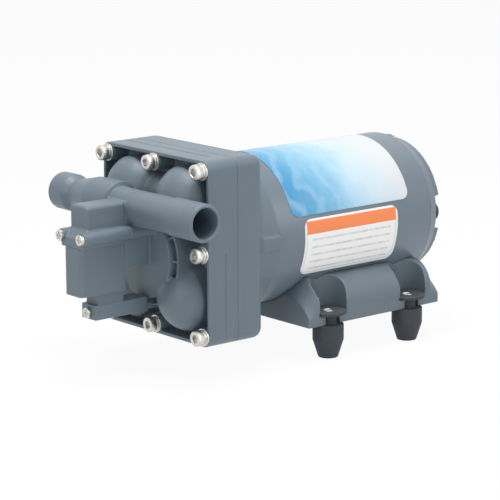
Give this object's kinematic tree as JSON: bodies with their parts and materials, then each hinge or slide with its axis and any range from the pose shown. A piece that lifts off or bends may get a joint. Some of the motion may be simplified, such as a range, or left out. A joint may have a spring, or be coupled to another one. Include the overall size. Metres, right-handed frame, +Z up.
{
  "type": "caravan water pump",
  "caption": "Self-contained diaphragm water pump: square wet head with domed chambers and two ports, pressure switch, round motor and a bracket on rubber feet.",
  "frame": {"origin": "on the floor, at the centre of the four rubber feet", "axes": "+Z up; the pump axis lies along Y with the wet head at -Y; the outlet port opens to +X"},
  "size_m": [0.126, 0.233, 0.119],
  "materials": {
    "housing_plastic": "satin blue-grey moulded plastic",
    "bracket_plastic": "satin moulded plastic",
    "can_paint": "satin paint on steel",
    "stainless": "bright stainless steel",
    "bearing_steel": "ground steel",
    "foot_rubber": "matt charcoal rubber",
    "seal_rubber": "matt black rubber",
    "inner_plastic": "dark moulded plastic",
    "magnet": "dull ferrite",
    "spring_steel": "spring steel",
    "core_steel": "laminated steel",
    "copper": "copper",
    "brass": "plain brass",
    "carbon": "graphite",
    "product_label": "printed blue to white film",
    "notice_label": "printed orange and white film"
  },
  "bodies": {
    "root": {"backing_plate": "inner_plastic", "bracket_screws": "stainless", "brush_card": "inner_plastic", "brush_holders": "brass", "brush_spring_left": "spring_steel", "brush_spring_right": "spring_steel", "diaphragm": "seal_rubber", "drive_housing": "housing_plastic", "foot_sleeves": "stainless", "front_bearing_outer": "bearing_steel", "head_bolts": "stainless", "head_cover": "housing_plastic", "head_spring_washers": "stainless", "head_washers": "stainless", "inlet_valves": "seal_rubber", "lead_grommet": "foot_rubber", "magnet_clips": "spring_steel", "magnets": "magnet", "microswitch_body": "inner_plastic", "microswitch_terminals": "brass", "motor_can": "can_paint", "motor_end_cap": "can_paint", "mounting_bracket": "bracket_plastic", "notice_label": "notice_label", "outlet_seal": "seal_rubber", "outlet_valve": "seal_rubber", "product_label": "product_label", "rear_bearing_outer": "bearing_steel", "rubber_feet": "foot_rubber", "switch_base": "housing_plastic", "switch_cap": "housing_plastic", "switch_diaphragm": "seal_rubber", "switch_screws": "stainless", "switch_spring": "spring_steel", "tie_bolts": "stainless", "valve_plate": "inner_plastic"},
    "rotor": {"motor_shaft": "bearing_steel", "cam_hub": "bearing_steel", "cam_set_screw": "stainless", "armature_core": "core_steel", "armature_windings": "copper", "commutator": "copper", "front_bearing_inner": "bearing_steel", "rear_bearing_inner": "bearing_steel", "cam_bearing_inner": "bearing_steel"},
    "wobbler": {"wobble_plate": "inner_plastic", "pistons": "inner_plastic", "piston_screws": "stainless", "cam_bearing_outer": "bearing_steel"},
    "front_balls": {"front_bearing_balls": "bearing_steel"},
    "rear_balls": {"rear_bearing_balls": "bearing_steel"},
    "cam_balls": {"cam_bearing_balls": "bearing_steel"},
    "left_brush": {"brush_left": "carbon"},
    "right_brush": {"brush_right": "carbon"},
    "plunger": {"switch_plunger": "inner_plastic"},
    "button": {"microswitch_button": "inner_plastic"},
    "adjuster": {"switch_adjuster": "brass"}
  },
  "joints": [
    {"name": "motor_spin", "type": "hinge", "parent": "root", "child": "rotor", "pos_m": [0, 0, 0.069], "axis": [0, 1, 0], "continuous": true},
    {"name": "plate_wobble", "type": "hinge", "parent": "rotor", "child": "wobbler", "pos_m": [0, -0.086, 0.069], "axis": [0, 0.9986, 0.0523], "continuous": true, "deforming": ["diaphragm"]},
    {"name": "front_cage_turn", "type": "hinge", "parent": "root", "child": "front_balls", "pos_m": [0, 0, 0.069], "axis": [0, 1, 0], "continuous": true},
    {"name": "rear_cage_turn", "type": "hinge", "parent": "root", "child": "rear_balls", "pos_m": [0, 0, 0.069], "axis": [0, 1, 0], "continuous": true},
    {"name": "cam_cage_turn", "type": "hinge", "parent": "rotor", "child": "cam_balls", "pos_m": [0, -0.086, 0.069], "axis": [0, 0.9986, 0.0523], "continuous": true},
    {"name": "left_brush_slide", "type": "slide", "parent": "root", "child": "left_brush", "axis": [-1, 0, 0], "range_m": [0, 0.004], "stiffness_N_per_m": 150, "springref_m": -0.012, "deforming": ["brush_spring_left"]},
    {"name": "right_brush_slide", "type": "slide", "parent": "root", "child": "right_brush", "axis": [1, 0, 0], "range_m": [0, 0.004], "stiffness_N_per_m": 150, "springref_m": -0.012, "deforming": ["brush_spring_right"]},
    {"name": "switch_press", "type": "slide", "parent": "root", "child": "plunger", "axis": [0, 0, -1], "range_m": [0, 0.001], "stiffness_N_per_m": 1900, "springref_m": -0.0034, "deforming": ["switch_spring", "switch_diaphragm"]},
    {"name": "button_press", "type": "slide", "parent": "root", "child": "button", "axis": [0, 0, -1], "range_m": [0, 0.001]},
    {"name": "adjuster_turn", "type": "hinge", "parent": "root", "child": "adjuster", "pos_m": [0, -0.1485, 0.05], "axis": [0, 0, 1], "range_deg": [-180, 180]}
  ],
  "couplings": [
    {"joint": "plate_wobble", "follows": "motor_spin", "ratio": -1},
    {"joint": "front_cage_turn", "follows": "motor_spin", "ratio": 0.37333},
    {"joint": "rear_cage_turn", "follows": "motor_spin", "ratio": 0.37333},
    {"joint": "cam_cage_turn", "follows": "motor_spin", "ratio": -0.58333},
    {"joint": "button_press", "follows": "switch_press", "ratio": 1}
  ]
}
